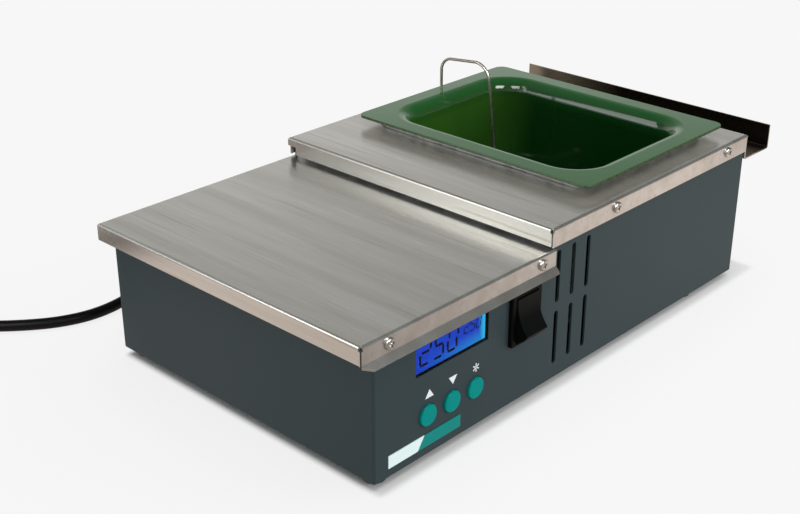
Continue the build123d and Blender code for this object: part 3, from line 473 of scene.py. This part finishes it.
before = add_node(
    tree, "ShaderNodeMath", {0: spot.outputs["X"], 1: gutter_face}, operation="LESS_THAN",
)
far_end = add_node(
    tree, "ShaderNodeMapRange",
    {0: spot.outputs["Y"], 1: at(0, 115, 0).y, 2: at(0, 190, 0).y, 3: 0.97, 4: 0.0},
)
inside = add_node(
    tree, "ShaderNodeMath", {0: past.outputs[0], 1: before.outputs[0]}, operation="MULTIPLY",
)
# Darkens the inside of the gutter's outer wall and the floor beside it to near black, most at the
# near end.
gutter_darkening = add_node(
    tree, "ShaderNodeMath", {0: inside.outputs[0], 1: far_end.outputs[0]}, operation="MULTIPLY",
)
stain = add_node(
    tree, "ShaderNodeMapRange",
    {0: spot.outputs["X"], 1: at(341, 0, 0).x, 2: at(345, 0, 0).x, 3: 0.0, 4: 0.7},
)
stained = add_node(
    tree, "ShaderNodeMix", {0: stain.outputs[0], 6: tan.outputs[2], 7: linear("#A08F78")},
    data_type="RGBA",
)
gutter_darkened = add_node(
    tree, "ShaderNodeMix", {0: gutter_darkening.outputs[0], 6: stained.outputs[2], 7: linear("#1B150F")},
    data_type="RGBA",
)
tree.links.new(gutter_darkened.outputs[2], shader.inputs["Base Color"])
gloss = add_node(tree, "ShaderNodeMapRange", {0: scratch.outputs[0], 3: 0.19, 4: 0.31})
tree.links.new(gloss.outputs[0], shader.inputs["Roughness"])
bump = add_node(
    tree, "ShaderNodeBump", {"Height": scratch.outputs[0], "Strength": 0.10, "Distance": 0.00005},
)
tree.links.new(bump.outputs[0], shader.inputs["Normal"])
wear_on(brushed, "front_deck", "rear_deck")

# Screws, nuts and small steel fixings: turned or headed steel under bright zinc, which is a little
# blue and mottled.
zinc_plate = grained("bright_zinc_plate", "#A9A8A4", "#D6D4CF", 0.26, 1.0, 1.4, 0.01)
wear_on(
    zinc_plate, "deck_screws", "deck_nuts", "shield_screws", "shield_nuts", "heater_studs",
    "stud_nuts", "display_screws", "board_screws", "earth_stud", "earth_nut",
)

# The name strip: two pieces of printed film on the control side, a pale one and a teal one, plain.
# Film is smooth, with the faintest print grain.
pale_film = grained("pale_printed_film", "#DDF1F4", "#E8F8FA", 0.34, 0.0, 0.5, 0.002)
teal_film = grained(
    "teal_printed_film", "#00807A", "#068A84", 0.34, 0.0, 0.5, 0.002, Specular_IOR_Level=0.1,
)
wear_on(pale_film, "name_strip_light")
wear_on(teal_film, "name_strip_dark")

# The tank: pressed steel under green vitreous enamel, which is glassy and a little wavy. Along the
# flange's cut edge it is thin and brown, and lower on the far wall it is olive. Inside, the green
# is darkened lower down with painted shade. Faces that look down have the pale ground coat only.
TANK = (257.0, 102.2)
FLANGE = (146.6, 183.4)
FLANGE_CORNER = 6.5
enamel, tree, shader, place = finish("green_vitreous_enamel", "#22592A", 0.10)
wave = add_node(tree, "ShaderNodeTexNoise", {"Vector": place, "Scale": 90.0, "Detail": 2.0})
pool = add_node(tree, "ShaderNodeTexNoise", {"Vector": place, "Scale": 22.0, "Detail": 3.0})
glaze = add_node(
    tree, "ShaderNodeMix", {0: pool.outputs[0], 6: linear("#174D20"), 7: linear("#1F5627")},
    data_type="RGBA",
)
spot = add_node(tree, "ShaderNodeSeparateXYZ", {0: place})
far_wall = add_node(
    tree, "ShaderNodeMapRange", {0: spot.outputs["Y"], 1: at(0, 145, 0).y, 2: at(0, 172, 0).y},
)
below = add_node(
    tree, "ShaderNodeMapRange", {0: spot.outputs["Z"], 1: at(0, 0, 101).z, 2: at(0, 0, 90).z},
)
far_wall_lower = add_node(
    tree, "ShaderNodeMath", {0: far_wall.outputs[0], 1: below.outputs[0]}, operation="MULTIPLY",
)
# Painted shade: lower inside the tank the green is mixed towards a dark green, where shade falls.
painted_shade_lower = add_node(
    tree, "ShaderNodeMix", {0: below.outputs[0], 6: glaze.outputs[2], 7: linear("#0B3411")},
    data_type="RGBA",
)
# Lower on the far wall the colour is olive.
olive = add_node(
    tree, "ShaderNodeMix", {0: far_wall_lower.outputs[0], 6: painted_shade_lower.outputs[2], 7: linear("#2F5A1C")},
    data_type="RGBA",
)
from_middle = add_node(
    tree, "ShaderNodeVectorMath", {0: place, 1: at(*TANK, 0)}, operation="SUBTRACT",
)
folded = add_node(tree, "ShaderNodeVectorMath", {0: from_middle.outputs[0]}, operation="ABSOLUTE")
straight = ((FLANGE[0] / 2 - FLANGE_CORNER) * MM, (FLANGE[1] / 2 - FLANGE_CORNER) * MM, 1.0)
past = add_node(
    tree, "ShaderNodeVectorMath", {0: folded.outputs[0], 1: straight}, operation="SUBTRACT",
)
outside = add_node(
    tree, "ShaderNodeVectorMath", {0: past.outputs[0], 1: (0.0, 0.0, 0.0)}, operation="MAXIMUM",
)
past_straight = add_node(tree, "ShaderNodeVectorMath", {0: outside.outputs[0]}, operation="LENGTH")
nibble = add_node(tree, "ShaderNodeTexNoise", {"Vector": place, "Scale": 500.0, "Detail": 3.0})
uneven = add_node(
    tree, "ShaderNodeMath", {0: nibble.outputs[0], 1: 0.0008, 2: past_straight.outputs["Value"]},
    operation="MULTIPLY_ADD",
)
bare = add_node(
    tree, "ShaderNodeMapRange",
    {0: uneven.outputs[0], 1: (FLANGE_CORNER + 0.2) * MM, 2: (FLANGE_CORNER + 0.6) * MM},
)
coat = add_node(
    tree, "ShaderNodeMix", {0: bare.outputs[0], 6: olive.outputs[2], 7: linear("#4F4A3A")},
    data_type="RGBA",
)
facing = add_node(
    tree, "ShaderNodeSeparateXYZ", {0: add_node(tree, "ShaderNodeTexCoord").outputs["Normal"]},
)
downward = add_node(
    tree, "ShaderNodeMath", {0: facing.outputs["Z"], 1: -0.9}, operation="LESS_THAN",
)
ground = add_node(
    tree, "ShaderNodeMix", {0: downward.outputs[0], 6: coat.outputs[2], 7: linear("#E2E0D8")},
    data_type="RGBA",
)
tree.links.new(ground.outputs[2], shader.inputs["Base Color"])
gloss = add_node(tree, "ShaderNodeMapRange", {0: bare.outputs[0], 3: 0.09, 4: 0.5})
tree.links.new(gloss.outputs[0], shader.inputs["Roughness"])
bump = add_node(
    tree, "ShaderNodeBump", {"Height": wave.outputs[0], "Strength": 0.05, "Distance": 0.0004},
)
tree.links.new(bump.outputs[0], shader.inputs["Normal"])
wear_on(enamel, "solder_tank")

# The heat shield and the partition: galvanised sheet, folded and spot welded, with the frosty
# spangle of hot dipped zinc.
galvanised, tree, shader, place = finish("galvanised_sheet", "#9FA1A0", 0.48, 0.9)
spangle = add_node(tree, "ShaderNodeTexVoronoi", {"Vector": place, "Scale": 160.0})
grey = add_node(tree, "ShaderNodeSeparateColor", {0: spangle.outputs["Color"]})
shade = add_node(
    tree, "ShaderNodeMix", {0: grey.outputs[0], 6: linear("#8F9190"), 7: linear("#B9BBBA")},
    data_type="RGBA",
)
tree.links.new(shade.outputs[2], shader.inputs["Base Color"])
gloss = add_node(tree, "ShaderNodeMapRange", {0: grey.outputs[0], 3: 0.40, 4: 0.56})
tree.links.new(gloss.outputs[0], shader.inputs["Roughness"])
wear_on(galvanised, "heat_shield", "partition")

# Hot parts inside the shield: fired steatite tubes, a pressed fibre board, a felted ceramic
# blanket, a sand cast block and mild steel bars dulled by heat.
wear_on(grained("fired_steatite", "#D9D3C4", "#EAE6DA", 0.45, 0.0, 0.8, 0.02), "shield_standoffs")
wear_on(grained("pressed_fibre_board", "#8F8466", "#B3A786", 0.9, 0.0, 0.9, 0.15), "floor_board")
wear_on(
    grained("ceramic_fibre_felt", "#D2D0C8", "#F0EFEA", 0.95, 0.0, 1.6, 0.5), "insulation_blanket",
)
wear_on(grained("sand_cast_iron", "#2A2928", "#43413E", 0.68, 0.6, 0.7, 0.2), "heater_block")
wear_on(grained("heat_dulled_steel", "#4C4540", "#77706A", 0.5, 1.0, 2.5, 0.03), "clamp_bars")
wear_on(
    grained("swaged_heater_sheath", "#6F6A60", "#9A958A", 0.36, 1.0, 1.2, 0.02),
    "heater_cartridges",
)

# The sensor: a stainless tube drawn thin and bent by hand, turned a little straw by the heat, in a
# turned gland.
drawn, tree, shader, place = finish("drawn_stainless_tube", "#9C968C", 0.28, 1.0)
along = add_node(tree, "ShaderNodeMapping", {"Vector": place, "Scale": (900.0, 900.0, 60.0)})
draw = add_node(
    tree, "ShaderNodeTexNoise", {"Vector": along.outputs[0], "Scale": 1.0, "Detail": 3.0},
)
heat = add_node(tree, "ShaderNodeTexNoise", {"Vector": place, "Scale": 35.0, "Detail": 2.0})
tint = add_node(
    tree, "ShaderNodeMix", {0: heat.outputs[0], 6: linear("#B9B1A3"), 7: linear("#A3A19C")},
    data_type="RGBA",
)
tree.links.new(tint.outputs[2], shader.inputs["Base Color"])
gloss = add_node(tree, "ShaderNodeMapRange", {0: draw.outputs[0], 3: 0.2, 4: 0.36})
tree.links.new(gloss.outputs[0], shader.inputs["Roughness"])
wear_on(drawn, "sensor_probe")
wear_on(grained("turned_gland_steel", "#8E8C88", "#B1AFAA", 0.3, 1.0, 0.9, 0.01), "sensor_gland")

# The display: a backlit cell in a pressed frame, seen through a clear acrylic pane. The lamp sits
# at the right, where the blue turns to cyan. The pane has a narrow black border printed behind it.
WINDOW_MIDDLE = (58.2, 0, 62)
CLEAR_HALF = (27.6, 12.7)
acrylic, tree, shader, place = finish(
    "clear_acrylic", "#FFFFFF", 0.02, IOR=1.12, Transmission_Weight=1.0, Specular_IOR_Level=0.5,
)
spot = add_node(
    tree, "ShaderNodeVectorMath", {0: place, 1: at(*WINDOW_MIDDLE)}, operation="SUBTRACT",
)
folded = add_node(tree, "ShaderNodeVectorMath", {0: spot.outputs[0]}, operation="ABSOLUTE")
sides = add_node(tree, "ShaderNodeSeparateXYZ", {0: folded.outputs[0]})
past_side = add_node(
    tree, "ShaderNodeMath",
    {0: sides.outputs["X"], 1: CLEAR_HALF[0] * MM}, operation="GREATER_THAN",
)
past_foot = add_node(
    tree, "ShaderNodeMath",
    {0: sides.outputs["Z"], 1: CLEAR_HALF[1] * MM}, operation="GREATER_THAN",
)
border = add_node(
    tree, "ShaderNodeMath", {0: past_side.outputs[0], 1: past_foot.outputs[0]}, operation="MAXIMUM",
)
clear = add_node(tree, "ShaderNodeMath", {0: 1.0, 1: border.outputs[0]}, operation="SUBTRACT")
tree.links.new(clear.outputs[0], shader.inputs["Transmission Weight"])
edge = add_node(
    tree, "ShaderNodeMix", {0: border.outputs[0], 6: linear("#FFFFFF"), 7: linear("#05070A")},
    data_type="RGBA",
)
tree.links.new(edge.outputs[2], shader.inputs["Base Color"])
rub = add_node(tree, "ShaderNodeTexNoise", {"Vector": place, "Scale": 260.0, "Detail": 5.0})
gloss = add_node(tree, "ShaderNodeMapRange", {0: rub.outputs[0], 1: 0.4, 2: 0.8, 3: 0.01, 4: 0.05})
tree.links.new(gloss.outputs[0], shader.inputs["Roughness"])
wear_on(acrylic, "display_window")

# The cell is blue, and cyan at its lamp's side and a little way along its foot.
cell, tree, shader, place = finish(
    "backlit_display_cell", "#061036", 0.3, Emission_Strength=1.0, Specular_IOR_Level=0.0,
)
spot = add_node(tree, "ShaderNodeSeparateXYZ", {0: place})
lamp_side = add_node(
    tree, "ShaderNodeMapRange", {0: spot.outputs["X"], 1: at(80, 0, 0).x, 2: at(87, 0, 0).x},
    interpolation_type="SMOOTHSTEP",
)
lower = add_node(
    tree, "ShaderNodeMapRange", {0: spot.outputs["Z"], 1: at(0, 0, 57).z, 2: at(0, 0, 48).z},
)
rightward = add_node(
    tree, "ShaderNodeMapRange",
    {0: spot.outputs["X"], 1: at(36, 0, 0).x, 2: at(80, 0, 0).x, 4: 0.42},
)
spill = add_node(
    tree, "ShaderNodeMath", {0: lower.outputs[0], 1: rightward.outputs[0]}, operation="MULTIPLY",
)
cyan = add_node(
    tree, "ShaderNodeMath", {0: lamp_side.outputs[0], 1: spill.outputs[0]}, operation="MAXIMUM",
)
flicker = add_node(tree, "ShaderNodeTexNoise", {"Vector": place, "Scale": 120.0, "Detail": 2.0})
blue = add_node(
    tree, "ShaderNodeMix", {0: flicker.outputs[0], 6: linear("#0C33AC"), 7: linear("#123FBA")},
    data_type="RGBA",
)
backlight = add_node(
    tree, "ShaderNodeMix", {0: cyan.outputs[0], 6: blue.outputs[2], 7: linear("#2FC0EA")},
    data_type="RGBA",
)
tree.links.new(backlight.outputs[2], shader.inputs["Emission Color"])
wear_on(cell, "lcd_module")


def fresh(shape, name, **settings):
    """Adds a primitive with nothing else selected, and gives back its object."""
    bpy.ops.object.select_all(action="DESELECT")
    mesh = bpy.ops.mesh
    add = {"bar": mesh.primitive_cube_add, "prism": mesh.primitive_cylinder_add}[shape]
    add(**settings)
    piece = bpy.context.active_object
    piece.name = name
    return piece


def stretch_end(piece, axis, amount):
    """Moves the vertices past the middle of one axis outwards, and those before it back."""
    for side in (-1, 1):
        bpy.ops.object.mode_set(mode="EDIT")
        bpy.ops.mesh.select_all(action="DESELECT")
        bpy.ops.object.mode_set(mode="OBJECT")
        for vertex in piece.data.vertices:
            vertex.select = vertex.co[axis] * side > 1e-6
        bpy.ops.object.mode_set(mode="EDIT")
        bpy.ops.transform.translate(value=[side * amount if i == axis else 0.0 for i in range(3)])
        bpy.ops.object.mode_set(mode="OBJECT")


def copies(name, pattern, places):
    """One object from copies of a pattern's mesh, each moved by its own matrix."""
    parts = []
    for matrix in places:
        part = pattern.copy()
        part.data = pattern.data.copy()
        part.data.transform(matrix)
        scene.collection.objects.link(part)
        parts.append(part)
    bpy.data.objects.remove(pattern)
    bpy.ops.object.select_all(action="DESELECT")
    for part in parts:
        part.select_set(True)
    bpy.context.view_layer.objects.active = parts[0]
    bpy.ops.object.join()
    whole = bpy.context.active_object
    whole.name = name
    whole.data.name = name
    return whole


def facing_front(x, y, z, turn, scale=1.0):
    """Stands a flat pattern up in the control side's plane at a place, turned and scaled."""
    upright = Matrix.Rotation(math.radians(90), 4, "X")
    spin = Matrix.Rotation(math.radians(turn), 4, "Z")
    return Matrix.Translation(at(x, y, z)) @ upright @ Matrix.Scale(scale, 4) @ spin


# The display's figures: dark liquid crystal bars, seven to a figure, three large and three small.
# One bar is a hexagon drawn out to its length, and the others are its copies. They lie just in
# front of the cell's face.
DIGIT = (7.2, 14.6)
BAR_WIDTH = 1.7
BAR_THICKNESS = 0.08
BAR_GAP = 0.6
SLANT = 0.17
CELL_FACE = 2.88
bar = fresh(
    "prism", "digit_bar", vertices=6, radius=BAR_WIDTH / 2 * MM, depth=BAR_THICKNESS * MM,
)
bar.data.transform(Matrix.Rotation(math.radians(90), 4, "Z"))
stretch_end(bar, 0, (DIGIT[0] / 2 - BAR_WIDTH / 2 - BAR_GAP) * MM)
half, mid = DIGIT[0] / 2, DIGIT[1] / 2
segments = {
    "top": (0, DIGIT[1], 0), "middle": (0, mid, 0), "bottom": (0, 0, 0),
    "upper_left": (-half, mid * 1.5, 90), "upper_right": (half, mid * 1.5, 90),
    "lower_left": (-half, mid * 0.5, 90), "lower_right": (half, mid * 0.5, 90),
}
figures = {
    "0": ("top", "bottom", "upper_left", "upper_right", "lower_left", "lower_right"),
    "2": ("top", "upper_right", "middle", "lower_left", "bottom"),
    "5": ("top", "upper_left", "middle", "lower_right", "bottom"),
}
bars = []
for figure, left, low, scale in (
    ("2", 38.6, 52.6, 0.94), ("5", 49.0, 52.6, 0.94), ("0", 59.4, 52.6, 0.94),
    ("2", 70.6, 57.8, 0.47), ("5", 75.4, 57.8, 0.47), ("0", 80.2, 57.8, 0.47),
):
    for name in figures[figure]:
        across, up, turn = segments[name]
        x = left + (across + SLANT * up) * scale
        bars.append(facing_front(x, CELL_FACE, low + up * scale, turn, scale))
digits = copies("display_digits", bar, bars)
dark_crystal = grained(
    "dark_display_crystal", "#010208", "#03040F", 0.5, 0.0, 0.4, 0.001, Specular_IOR_Level=0.0,
)
digits.data.materials.append(dark_crystal)
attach(digits, "pot")

# The printed marks over the buttons: an upward and a downward arrow head and a star, in white ink
# that stands hardly proud of the coat.
INK = 0.06
ARROW_RADIUS = 3.7
ARROW_SQUASH = 0.85
STAR_ARM = (0.68, 2.6)
white_ink = grained("white_screen_ink", "#DDE4EA", "#EEF3F7", 0.5, 0.0, 0.3, 0.004)
arrow = fresh("prism", "arrow_mark", vertices=3, radius=ARROW_RADIUS * MM, depth=INK * MM)
arrow.data.transform(Matrix.Diagonal((1.0, ARROW_SQUASH, 1.0, 1.0)))
arrow_places = [facing_front(40.4, -INK / 2, 35.5, 0), facing_front(58.4, -INK / 2, 37.0, 180)]
arrows = copies("arrow_marks", arrow, arrow_places)
arm = fresh("bar", "star_arm", size=1.0)
arm.data.transform(Matrix.Diagonal((STAR_ARM[0] * MM, STAR_ARM[1] * MM, INK * MM, 1.0)))
arm.data.transform(Matrix.Translation((0, STAR_ARM[1] / 2 * MM, 0)))
star = copies("star_mark", arm, [facing_front(76.7, -INK / 2, 36.0, 60 * n) for n in range(6)])
for mark in (arrows, star):
    mark.data.materials.append(white_ink)
    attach(mark, "pot")

# The buttons: teal ABS caps, moulded with a polished face, that slide in a grey moulded guide and
# press small switches on the display board.
teal = grained(
    "teal_moulded_abs", "#00847E", "#008C86", 0.3, 0.0, 5.0, 0.002, Specular_IOR_Level=0.03,
)
wear_on(teal, "button_up", "button_down", "button_set")
wear_on(grained("grey_moulded_guide", "#3A3D3D", "#4A4D4D", 0.5, 0.0, 1.0, 0.01), "button_guide")
wear_on(
    grained("black_switch_moulding", "#0D0D0E", "#1A1A1C", 0.4, 0.0, 0.8, 0.01), "tact_switches",
)

# The mains switch: black moulded nylon, spark finished on the bezel and smoother on the rocker.
nylon = grained(
    "black_moulded_nylon", "#050605", "#0A0B0A", 0.4, 0.0, 0.5, 0.01, Specular_IOR_Level=0.07,
)
rocker_nylon = grained(
    "smooth_black_nylon", "#080B0A", "#0D1110", 0.3, 0.0, 1.2, 0.003, Specular_IOR_Level=0.06,
)
wear_on(nylon, "switch_housing")
wear_on(rocker_nylon, "switch_rocker")

# Electronics behind the panel: glass fibre boards under green resist, turned brass posts, and the
# parts that stand on the power board.
resist = grained("green_board_resist", "#12381F", "#1C4C2B", 0.38, 0.0, 3.0, 0.02)
brass = grained("turned_brass", "#A88442", "#C7A45E", 0.3, 1.0, 0.8, 0.01)
board_grey = grained("grey_moulded_case", "#5E6162", "#747778", 0.5, 0.0, 0.9, 0.02)
wear_on(resist, "display_board", "power_board")
wear_on(
    brass, "display_standoffs", "board_standoffs", "switch_terminals", "plug_pins", "fuse_holder",
)
wear_on(board_grey, "relay", "terminal_block")
wear_on(
    grained("varnished_laminations", "#24252B", "#3A3C44", 0.42, 0.7, 0.5, 0.08),
    "transformer_core",
)
wear_on(
    grained("varnished_copper_wire", "#7A3A1C", "#A85A2E", 0.32, 0.9, 0.4, 0.1),
    "transformer_winding",
)
wear_on(grained("extruded_aluminium", "#A3A5A6", "#C2C4C5", 0.4, 1.0, 0.6, 0.02), "heat_sink")
wear_on(grained("black_epoxy_package", "#111113", "#1E1E20", 0.55, 0.0, 0.4, 0.02), "triac")
wear_on(grained("sleeved_capacitor_can", "#1B2430", "#2A3644", 0.35, 0.2, 2.0, 0.01), "capacitor")
wear_on(
    grained("plain_aluminium_rivet", "#9B9D9E", "#BDBFC0", 0.42, 1.0, 1.0, 0.01),
    "partition_rivets",
)
wear_on(grained("grommet_rubber", "#101010", "#1E1E1D", 0.7, 0.0, 0.8, 0.03), "wire_grommet")
wear_on(grained("glass_fuse_tube", "#B9C2C1", "#DCE3E2", 0.12, 0.1, 2.0, 0.002), "fuse")

low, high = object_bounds()
